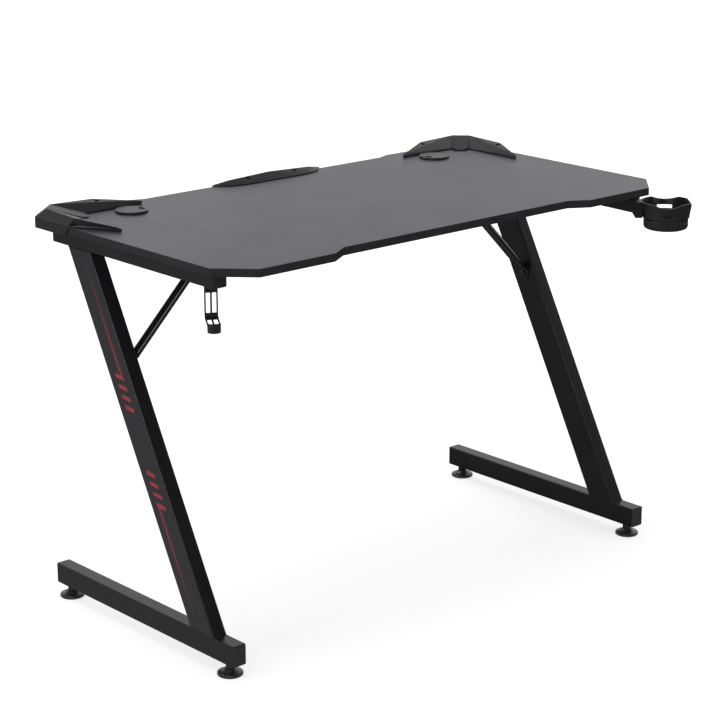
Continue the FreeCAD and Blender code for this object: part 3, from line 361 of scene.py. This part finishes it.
def end_cap(node, body, end):
    """The pillowed face of a plastic end cap, flush with its tube."""
    low, high = (Vector(corner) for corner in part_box(node))
    middle, half = (low + high) / 2, (high - low) / 2
    tip = low.y if end == ENDS["front"] else high.y
    rings = []
    profile = ((0.0, CAP_SKIRT), (0.0, CAP_EDGE), (CAP_SHOULDER, CAP_SHOULDER), (CAP_EDGE, 0.0))
    for inset, depth in profile:
        section = rounded_section(half.x - inset, half.z - inset, TUBE_CORNER)
        rings.append([(middle.x + x, tip - end * depth, middle.z + z) for x, z in section])
    piece = new_piece(f"{node}_skin", loft(rings), body, "cap_plastic", CAP_PLASTIC)
    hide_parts(node)


def leg_axis(node):
    """Middle of a leg's foot and head, and its half width and half depth level with the floor."""
    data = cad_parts[node].data
    low, high = (Vector(corner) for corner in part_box(node))
    half = (high.x - low.x) / 2
    near = [v.co.y for v in data.vertices if abs(v.co.z - low.z) < LEVEL_GAP]
    far = [v.co.y for v in data.vertices if abs(v.co.z - high.z) < LEVEL_GAP]
    foot = Vector((low.x + half, (min(near) + max(near)) / 2, low.z))
    head = Vector((low.x + half, (min(far) + max(far)) / 2, high.z))
    return foot, head, half, (max(near) - min(near)) / 2


def leg(node, body):
    """A leaning leg of rounded tube, cut level at both ends, with a lighter copy of its coat on its outer
    face as painted light for the side that faces the lamps.
    """
    foot, head, half_wide, half_deep = leg_axis(node)
    section = rounded_section(half_wide, half_deep, TUBE_CORNER)
    rings = [[(end.x + x, end.y + y, end.z) for x, y in section] for end in (foot, head)]
    built = loft(rings)
    outward = math.copysign(1.0, foot.x)
    for face in built.faces:
        # The outward faces take the lighter copy of the coat: painted light.
        face.material_index = 1 if face.normal.x * outward > FACES_OUT else 0
    piece = new_piece(f"{node}_skin", built, body, "black_steel", POWDER, LIT_SIDE_COAT)
    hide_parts(node)


def board():
    """The tabletop with eased edges and a band of its own colour round its sides."""
    built = merged_copy("tabletop")
    bmesh.ops.bevel(built, geom=sharp_edges(built, SHARP_TURN, LONG_EDGE), offset=BOARD_EDGE, segments=3,
                    profile=0.5, affect="EDGES", clamp_overlap=False)
    for face in built.faces:
        face.material_index = 0 if abs(face.normal.z) > FACES_UP else 1
    piece = new_piece("tabletop_skin", built, DESK, "laminate", LAMINATE, EDGE_BAND)
    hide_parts("tabletop")


class Tree:
    """A geometry node tree with named inputs, one method for every node."""

    def __init__(self, name, inputs):
        self.group = bpy.data.node_groups.new(name, "GeometryNodeTree")
        for label, kind in inputs.items():
            self.group.interface.new_socket(label, in_out="INPUT", socket_type=f"NodeSocket{kind}")
        self.group.interface.new_socket("Geometry", in_out="OUTPUT", socket_type="NodeSocketGeometry")
        self.start = self.group.nodes.new("NodeGroupInput")

    def given(self, label):
        return self.start.outputs[label]

    def node(self, kind, settings=None, inputs=None, output=0):
        made = self.group.nodes.new(kind)
        for name, value in (settings or {}).items():
            setattr(made, name, value)
        for name, value in (inputs or {}).items():
            if isinstance(value, bpy.types.NodeSocket):
                self.group.links.new(value, made.inputs[name])
            else:
                made.inputs[name].default_value = value
        return made.outputs[output]

    def close(self, instances):
        """Ends the tree in plain geometry with its finish."""
        real = self.node("GeometryNodeRealizeInstances", None, {"Geometry": instances})
        done = self.node("GeometryNodeSetMaterial", None,
                         {"Geometry": real, "Material": self.given("Finish")})
        end = self.group.nodes.new("NodeGroupOutput")
        self.group.links.new(done, end.inputs["Geometry"])
        return self.group

    @staticmethod
    def run(group, name, source, values, body, slot, angle=SMOOTH_TURN):
        """Runs a tree on a mesh and keeps the result as a plain piece."""
        carrier = bpy.data.objects.new(f"{name}_carrier", source)
        bpy.context.scene.collection.objects.link(carrier)
        modifier = carrier.modifiers.new(name, "NODES")
        modifier.node_group = group
        for item in group.interface.items_tree:
            if item.in_out == "INPUT" and item.name in values:
                modifier[item.identifier] = values[item.name]
        bpy.context.view_layer.update()
        ready = carrier.evaluated_get(bpy.context.evaluated_depsgraph_get())
        mesh = bpy.data.meshes.new_from_object(ready)
        bpy.data.objects.remove(carrier)
        mesh.name = name
        shade(mesh, angle)
        piece = bpy.data.objects.new(name, mesh)
        bpy.context.scene.collection.objects.link(piece)
        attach(piece, body)
        return piece


def heads_tree():
    """Sets one fastener on every point, turned to face the way that the point says."""
    tree = Tree("fasteners", {"Geometry": "Geometry", "Pattern": "Object", "Finish": "Material"})
    pattern = tree.node("GeometryNodeObjectInfo", None, {"Object": tree.given("Pattern")}, "Geometry")
    facing = tree.node("GeometryNodeInputNamedAttribute", {"data_type": "FLOAT_VECTOR"}, {"Name": "facing"})
    turn = tree.node("FunctionNodeAlignRotationToVector", {"axis": "Z"}, {"Vector": facing})
    set_out = tree.node("GeometryNodeInstanceOnPoints", None,
                        {"Points": tree.given("Geometry"), "Instance": pattern, "Rotation": turn})
    return tree.close(set_out)


def stripes_tree():
    """Repeats one slanted stripe along the leg."""
    tree = Tree("leg_stripes", {"Geometry": "Geometry", "Count": "Int", "Start": "Vector", "Step": "Vector",
                                "Finish": "Material"})
    places = tree.node("GeometryNodeMeshLine", {"mode": "OFFSET"},
                       {"Count": tree.given("Count"), "Start Location": tree.given("Start"),
                        "Offset": tree.given("Step")})
    set_out = tree.node("GeometryNodeInstanceOnPoints", None,
                        {"Points": places, "Instance": tree.given("Geometry")})
    return tree.close(set_out)


def weld_tree():
    """Lays overlapping round ripples along a path of edges."""
    tree = Tree("weld_bead", {"Geometry": "Geometry", "Pitch": "Float", "Radius": "Float",
                              "Finish": "Material"})
    path = tree.node("GeometryNodeMeshToCurve", None, {"Mesh": tree.given("Geometry")})
    even = tree.node("GeometryNodeResampleCurve", {"mode": "LENGTH"},
                     {"Curve": path, "Length": tree.given("Pitch")})
    ripple = tree.node("GeometryNodeMeshIcoSphere", None,
                       {"Radius": tree.given("Radius"), "Subdivisions": 2})
    set_out = tree.node("GeometryNodeInstanceOnPoints", None, {"Points": even, "Instance": ripple})
    return tree.close(set_out)


HEADS_TREE = heads_tree()
STRIPES_TREE = stripes_tree()
WELD_TREE = weld_tree()


def islands(node):
    """The corners of each separate solid in a node."""
    built = bmesh.new()
    built.from_mesh(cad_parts[node].data)
    bmesh.ops.remove_doubles(built, verts=built.verts, dist=JOIN_GAP)
    left, found = set(built.verts), []
    while left:
        queue, points = [left.pop()], []
        while queue:
            vert = queue.pop()
            points.append(vert.co.copy())
            joined = {edge.other_vert(vert) for edge in vert.link_edges} & left
            left -= joined
            queue.extend(joined)
        found.append(points)
    built.free()
    return found


def fastener_facts(points):
    """A fastener's middle, axis, length and head: the head is where it is widest."""
    low = Vector(min(p[i] for p in points) for i in range(3))
    high = Vector(max(p[i] for p in points) for i in range(3))
    size, middle = high - low, (low + high) / 2
    axis = max(range(3), key=lambda i: min(abs(size[i] - size[j]) for j in range(3) if j != i))
    head_r = size[(axis + 1) % 3] / 2
    rim = [p[axis] for p in points if abs((p - middle).length ** 2 - (p[axis] - middle[axis]) ** 2
                                          - head_r ** 2) < head_r ** 2 * RIM_SLACK_SHARE]
    facing = 1 if sum(rim) / len(rim) > middle[axis] else -1
    head_high = max(rim) - min(rim)
    seat = middle.copy()
    seat[axis] = high[axis] - head_high if facing > 0 else low[axis] + head_high
    out = Vector(facing if i == axis else 0 for i in range(3))
    return seat, out, head_r, head_high, size[axis] - head_high


def fastener(name, head_r, head_high, shank_r, shank_long, socket_r, corners, segments=36):
    """A turned fastener about +Z with its seat at zero and a socket with so many corners in its head."""
    def ring(radius, level):
        angles = [math.tau * i / segments for i in range(segments)]
        return [(radius * math.cos(angle), radius * math.sin(angle), level) for angle in angles]

    def socket(level):
        points = []
        for i in range(segments):
            angle = math.tau * i / segments
            wedge = math.tau / corners
            lean = abs((angle % wedge) - wedge / 2)
            radius = socket_r * math.cos(wedge / 2) / math.cos(wedge / 2 - lean)
            points.append((radius * math.cos(angle), radius * math.sin(angle), level))
        return points

    rings = [ring(shank_r, -shank_long), ring(shank_r, 0.0), ring(head_r * HEAD_SEAT_SHARE, 0.0)]
    rings += [ring(head_r * wide, head_high * high) for wide, high in CROWN_SHARES]
    rings += [socket(head_high), socket(head_high * SOCKET_FLOOR_SHARE)]
    mesh = bpy.data.meshes.new(name)
    built = loft(rings)
    built.to_mesh(mesh)
    built.free()
    return bpy.data.objects.new(name, mesh)


def set_fasteners(node, body, finish, shank_share, corners):
    """Replaces a node of screws or bolts by turned ones with sockets in their heads."""
    facts = [fastener_facts(points) for points in islands(node)]
    _, _, head_r, head_high, shank_long = facts[0]
    pattern = fastener(f"{node}_pattern", head_r, head_high, head_r * shank_share, shank_long,
                       head_r * SOCKET_SHARE, corners)
    bpy.context.scene.collection.objects.link(pattern)
    source = bpy.data.meshes.new(f"{node}_points")
    source.from_pydata([fact[0] for fact in facts], [], [])
    facing = source.attributes.new("facing", "FLOAT_VECTOR", "POINT")
    for item, fact in zip(facing.data, facts):
        item.vector = fact[1]
    piece = Tree.run(HEADS_TREE, f"{node}_turned", source, {"Pattern": pattern, "Finish": finish}, body,
                     "zinc_steel")
    bpy.data.objects.remove(pattern)
    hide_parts(node)


def leg_print(label, side):
    """Printed marks on a leg's outer face: slanted stripes in two groups, each with a thin line."""
    foot, head, half_wide, _ = leg_axis(f"leg_post_{label}")
    along = (head - foot).normalized()
    across = Vector((-1, 0, 0)).cross(along)
    out = Vector((side, 0, 0))
    face = foot + out * half_wide

    def plate(points, proud):
        """A thin plate with these corners, along and across, from the middle of the leg's foot."""
        built = bmesh.new()
        rings = [[built.verts.new(across * t + along * s + out * lift) for s, t in points]
                 for lift in (-PRINT_SINK, proud)]
        for index in range(len(points)):
            after = (index + 1) % len(points)
            built.faces.new((rings[0][index], rings[0][after], rings[1][after], rings[1][index]))
        built.faces.new(list(reversed(rings[0])))
        built.faces.new(rings[1])
        bmesh.ops.recalc_face_normals(built, faces=built.faces)
        return built

    half_thick, half_long, half_fall = STRIPE_THICK / 2, STRIPE_LONG / 2, STRIPE_FALL / 2
    stripe = [(half_fall + half_thick, half_long), (half_fall - half_thick, half_long),
              (-half_fall - half_thick, -half_long), (-half_fall + half_thick, -half_long)]
    for group, lowest in STRIPE_GROUPS.items():
        source = bpy.data.meshes.new(f"stripe_{label}_{group}")
        built = plate(stripe, STRIPE_PROUD)
        built.to_mesh(source)
        built.free()
        Tree.run(STRIPES_TREE, f"stripes_{label}_{group}", source,
                 {"Count": STRIPE_COUNT, "Start": face + along * lowest, "Step": along * STRIPE_PITCH,
                  "Finish": RED}, DESK, None)
        near, far, aside = LINE_RUNS[group]
        ends = ((near, -LINE_NEAR_WIDE, LINE_NEAR_THIN), (far, -LINE_FAR_WIDE, LINE_FAR_THIN),
                (far, LINE_FAR_WIDE, LINE_FAR_THIN), (near, LINE_NEAR_WIDE, LINE_NEAR_THIN))
        built = plate([(place, aside + wide / 2) for place, wide, _ in ends], LINE_PROUD)
        bmesh.ops.translate(built, verts=built.verts, vec=face)
        piece = new_piece(f"line_{label}_{group}", built, DESK, None, RED)
        thinned = piece.data.attributes.new("thinned", "FLOAT", "POINT")
        for item, (_, _, share) in zip(thinned.data, ends + ends):
            item.value = share


def weld(label):
    """Weld beads across the front and back of a leg where it meets its two rails."""
    foot, head, half_wide, half_deep = leg_axis(f"leg_post_{label}")
    reach = half_wide - TUBE_CORNER
    path = bmesh.new()
    for end in (foot, head):
        for deep in (-half_deep, half_deep):
            ends = [path.verts.new((end.x + x, end.y + deep, end.z)) for x in (-reach, reach)]
            path.edges.new(ends)
    source = bpy.data.meshes.new(f"weld_path_{label}")
    path.to_mesh(source)
    path.free()
    Tree.run(WELD_TREE, f"weld_beads_{label}", source,
             {"Pitch": WELD_PITCH, "Radius": WELD_RADIUS, "Finish": POWDER}, DESK, "black_steel",
             BEAD_SMOOTH_TURN)


def side_frames():
    for label, side in SIDES.items():
        for kind in ("upper", "foot"):
            rail(f"{kind}_rail_{label}", DESK)
            for end_label, end in ENDS.items():
                end_cap(f"{kind}_cap_{label}_{end_label}", DESK, end)
        leg(f"leg_post_{label}", DESK)
        weld(label)
        leg_print(label, side)
        softened(f"brace_{label}", DESK, "gloss_steel", ENAMEL, MOULDED_EDGE)
        softened(f"crossbeam_plate_{label}", DESK, "black_steel", POWDER, MOULDED_EDGE, shortest=LONG_EDGE)
    softened("crossbeam", DESK, "black_steel", POWDER, MOULDED_EDGE, shortest=LONG_EDGE)


def guards():
    for node in ("corner_guard_left", "corner_guard_right", "centre_guard"):
        softened(node, DESK, "guard_plastic", GUARD_PLASTIC, GUARD_EDGE, angle=GUARD_SHARP_TURN,
                 shortest=GUARD_LONG_EDGE)


def fittings():
    for label in SIDES:
        softened(f"grommet_sleeve_{label}", DESK, "black_plastic", BLACK_PLASTIC, FINE_EDGE)
        softened(f"grommet_lid_{label}", f"lid_{label}", "black_plastic", BLACK_PLASTIC, LID_EDGE)
    softened("cup_holder_arm", DESK, "black_plastic", BLACK_PLASTIC, MOULDED_EDGE)
    softened("cup_holder_bowl", DESK, "black_plastic", BLACK_PLASTIC, MOULDED_EDGE)
    softened("headphone_hook", DESK, "black_plastic", BLACK_PLASTIC, MOULDED_EDGE)


def feet():
    for label in SIDES:
        for end in ENDS:
            body = f"foot_{label}_{end}"
            softened(f"foot_pad_{label}_{end}", body, "pad_plastic", PAD_PLASTIC, MOULDED_EDGE)
            softened(f"foot_stud_{label}_{end}", body, "zinc_steel", BLACK_OXIDE, FINE_EDGE)


def fixings():
    for node in ("guard_screws", "tabletop_screws", "cup_holder_screws", "hook_screws"):
        set_fasteners(node, DESK, BLACK_OXIDE, SCREW_SHANK_SHARE, CROSS_CORNERS)
    for node in ("crossbeam_bolts", "brace_leg_bolts", "brace_beam_bolts"):
        set_fasteners(node, DESK, BLACK_OXIDE, BOLT_SHANK_SHARE, HEX_CORNERS)


side_frames()
board()
guards()
fittings()
feet()
fixings()
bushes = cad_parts["foot_bushes"].data
bushes.materials.clear()
bushes.materials.append(ZINC)


# The photograph's camera, fitted to the desk's corners
CAMERA_PLACE = Vector((-2.76142, -3.10158, 1.64555))
CAMERA_YAW = math.radians(41.634)
CAMERA_PITCH = math.radians(16.363)
CAMERA_ROLL = math.radians(-0.08)
CAMERA_LENS = 111.167
CAMERA_SENSOR = 36.0
CAMERA_REACH = 200.0


def camera():
    level = Vector((math.sin(CAMERA_YAW), math.cos(CAMERA_YAW), 0.0))
    forward = level * math.cos(CAMERA_PITCH) - Vector((0, 0, math.sin(CAMERA_PITCH)))
    right = Vector((math.cos(CAMERA_YAW), -math.sin(CAMERA_YAW), 0.0))
    up = right.cross(forward)
    turned_right = right * math.cos(CAMERA_ROLL) + up * math.sin(CAMERA_ROLL)
    turned_up = up * math.cos(CAMERA_ROLL) - right * math.sin(CAMERA_ROLL)
    data = bpy.data.cameras.new("photo_camera")
    data.lens = CAMERA_LENS
    data.sensor_width = CAMERA_SENSOR
    data.clip_end = CAMERA_REACH
    eye = bpy.data.objects.new("photo_camera", data)
    axes = Matrix((turned_right, turned_up, -forward)).transposed()
    eye.matrix_world = Matrix.Translation(CAMERA_PLACE) @ axes.to_4x4()
    bpy.context.scene.collection.objects.link(eye)
    bpy.context.scene.camera = eye


def white_floor():
    """A pale floor that keeps the desk's shadow and fades to the white of the backdrop."""
    finish = Finish("studio_floor")
    place = finish.place()
    distance = finish.node("ShaderNodeVectorMath", {"operation": "LENGTH"}, {0: place}, "Value")
    fade = finish.node("ShaderNodeMapRange", None,
                       {"Value": distance, "From Min": FLOOR_NEAR, "From Max": FLOOR_FAR})
    pale = finish.node("ShaderNodeBsdfDiffuse", None, {"Color": grey(FLOOR_TONE)})
    white = finish.node("ShaderNodeEmission", None, {"Color": grey(1.0), "Strength": FLOOR_GLOW})
    share = fade * (1.0 - FLOOR_SHARE) + FLOOR_SHARE
    mixed = finish.node("ShaderNodeMixShader", None, {0: share, 1: pale, 2: white})
    finish.node("ShaderNodeOutputMaterial", None, {"Surface": mixed})
    mesh = bpy.data.meshes.new("floor")
    corners = [(x * FLOOR_HALF, y * FLOOR_HALF, 0.0) for x, y in ((-1, -1), (1, -1), (1, 1), (-1, 1))]
    mesh.from_pydata(corners, [], [(0, 1, 2, 3)])
    mesh.materials.append(finish.material)
    floor = bpy.data.objects.new("floor", mesh)
    bpy.context.scene.collection.objects.link(floor)


def backdrop():
    """A white surround for what the eye and the gloss see, and a plainer one for the light."""
    world = bpy.data.worlds.new("studio")
    world.use_nodes = True
    bpy.context.scene.world = world
    tree = world.node_tree
    tree.nodes.clear()
    path = tree.nodes.new("ShaderNodeLightPath")
    seen = tree.nodes.new("ShaderNodeMath")
    seen.operation = "MAXIMUM"
    tree.links.new(path.outputs["Is Camera Ray"], seen.inputs[0])
    tree.links.new(path.outputs["Is Glossy Ray"], seen.inputs[1])
    through = tree.nodes.new("ShaderNodeMath")
    through.operation = "MAXIMUM"
    tree.links.new(seen.outputs[0], through.inputs[0])
    tree.links.new(path.outputs["Is Transmission Ray"], through.inputs[1])
    strength = tree.nodes.new("ShaderNodeMapRange")
    strength.inputs["To Min"].default_value = AMBIENT
    strength.inputs["To Max"].default_value = 1.0
    tree.links.new(through.outputs[0], strength.inputs["Value"])
    background = tree.nodes.new("ShaderNodeBackground")
    background.inputs["Color"].default_value = grey(1.0)
    tree.links.new(strength.outputs["Result"], background.inputs["Strength"])
    output = tree.nodes.new("ShaderNodeOutputWorld")
    tree.links.new(background.outputs["Background"], output.inputs["Surface"])


def lamp(name, place, aim, size, power):
    data = bpy.data.lights.new(name, "AREA")
    data.shape = "SQUARE"
    data.size = size
    data.energy = power
    light = bpy.data.objects.new(name, data)
    light.location = place
    light.rotation_euler = (Vector(aim) - Vector(place)).to_track_quat("-Z", "Y").to_euler()
    light.visible_glossy = False
    bpy.context.scene.collection.objects.link(light)


def panel(name, corners, finish):
    """A flat panel of the studio that only the gloss of the desk sees."""
    mesh = bpy.data.meshes.new(name)
    mesh.from_pydata(corners, [], [tuple(range(len(corners)))])
    mesh.materials.append(finish)
    made = bpy.data.objects.new(name, mesh)
    made.visible_camera = False
    made.visible_diffuse = False
    made.visible_shadow = False
    bpy.context.scene.collection.objects.link(made)


def flag_cloth():
    """Black cloth that keeps light out of the gloss."""
    finish = Finish("flag_cloth")
    weave = finish.noise(30.0)
    return finish.surface(Base_Color=finish.blend(weave, grey(0.015), grey(0.025)), Roughness=1.0,
                          Specular_IOR_Level=0.0)


def bounce_card(name, strength):
    """A card that the gloss sees as an even light."""
    finish = Finish(name)
    glow = finish.node("ShaderNodeEmission", None, {"Color": grey(1.0), "Strength": strength})
    finish.node("ShaderNodeOutputMaterial", None, {"Surface": glow})
    return finish.material


FLOOR_HALF = 60.0
FLOOR_NEAR, FLOOR_FAR = 1.0, 3.5
FLOOR_TONE = 0.9
FLOOR_SHARE = 0.5
FLOOR_GLOW = 1.34
AMBIENT = 0.72
# Dark cloths in front, overhead and on the floor, each by its corners seen from above or from the front
FAR, CLOTH_HIGH, CLOTH_TOP, CLOTH_FRONT = 14.0, 2.5, 8.0, -6.0
CLOTH_LOW, CARD_LOW = 0.003, 0.005
FRONT_CLOTH = [(-FAR, CLOTH_LOW), (8.0, CLOTH_LOW), (8.0, CLOTH_TOP), (-FAR, CLOTH_TOP)]
TOP_CLOTH = [(-FAR, CLOTH_FRONT), (0.9, CLOTH_FRONT), (0.9, 0.7), (2.2, 0.7), (2.2, 2.6), (1.5, 2.6),
             (1.3, 1.8), (-0.5, 1.8), (-1.2, 3.6), (-FAR, 3.6)]
FLOOR_CLOTH = [(-FAR, CLOTH_FRONT), (FAR, CLOTH_FRONT), (FAR, 9.0), (-FAR, 9.0)]
# Cards for the gloss, from above: on the floor beside the left leg, before the front feet and between the
# legs, and overhead for the left leg's corner and the left guard; and one standing in front for the braces
LEFT_CARD = [(-0.45, -0.6), (-0.45, 0.35), (-3.0, 4.6), (-3.0, -0.6)]
FRONT_CARD = [(-0.45, -0.6), (1.0, -0.6), (1.0, -0.25), (-0.45, -0.25)]
INNER_CARD = [(-0.42, -0.2), (0.47, -0.2), (0.47, 1.0), (-1.2, 2.6), (-1.2, 1.5), (-0.42, 0.45)]
CORNER_CARD = [(-9.0, -3.8), (-2.2, -3.8), (-2.2, -1.2), (-9.0, -1.2)]
STRIP_CARD = [(-0.95, 1.05), (-0.2, 1.05), (-0.2, 1.8), (-0.95, 1.8)]
BRACE_CARD = [(-0.5, 0.9), (1.4, 0.9), (1.4, 3.0), (-0.5, 3.0)]
CARD_GREY, INNER_GREY, BRACE_GLINT, CORNER_GLINT, STRIP_GLINT = 0.42, 0.16, 3.4, 6.5, 10.0
# Lamps: place, aim, size and power in watts
LAMPS = {"overhead": ((0.0, 0.6, 3.2), (0.0, 0.0, 0.0), 2.6, 48.0),
         "side_fill": ((-3.2, 0.4, 1.9), (0.0, 0.0, 0.4), 1.8, 18.0)}

camera()
white_floor()
backdrop()
cloth, card = flag_cloth(), bounce_card("bounce_card", CARD_GREY)
panel("cloth_front", [(x, CLOTH_FRONT, z) for x, z in FRONT_CLOTH], cloth)
panel("cloth_overhead", [(x, y, CLOTH_HIGH) for x, y in TOP_CLOTH], cloth)
panel("cloth_floor", [(x, y, CLOTH_LOW) for x, y in FLOOR_CLOTH], cloth)
panel("card_left", [(x, y, CARD_LOW) for x, y in LEFT_CARD], card)
panel("card_front", [(x, y, CARD_LOW) for x, y in FRONT_CARD], card)
panel("card_inner", [(x, y, CARD_LOW) for x, y in INNER_CARD], bounce_card("inner_card", INNER_GREY))
panel("card_brace", [(x, CLOTH_FRONT + CARD_LOW, z) for x, z in BRACE_CARD],
      bounce_card("brace_card", BRACE_GLINT))
panel("card_corner", [(x, y, CLOTH_HIGH - CARD_LOW) for x, y in CORNER_CARD],
      bounce_card("corner_card", CORNER_GLINT))
panel("card_strip", [(x, y, CLOTH_HIGH - CARD_LOW) for x, y in STRIP_CARD],
      bounce_card("strip_card", STRIP_GLINT))
for name, (place, aim, size, power) in LAMPS.items():
    lamp(name, place, aim, size, power)
bpy.context.scene.view_settings.view_transform = "Standard"
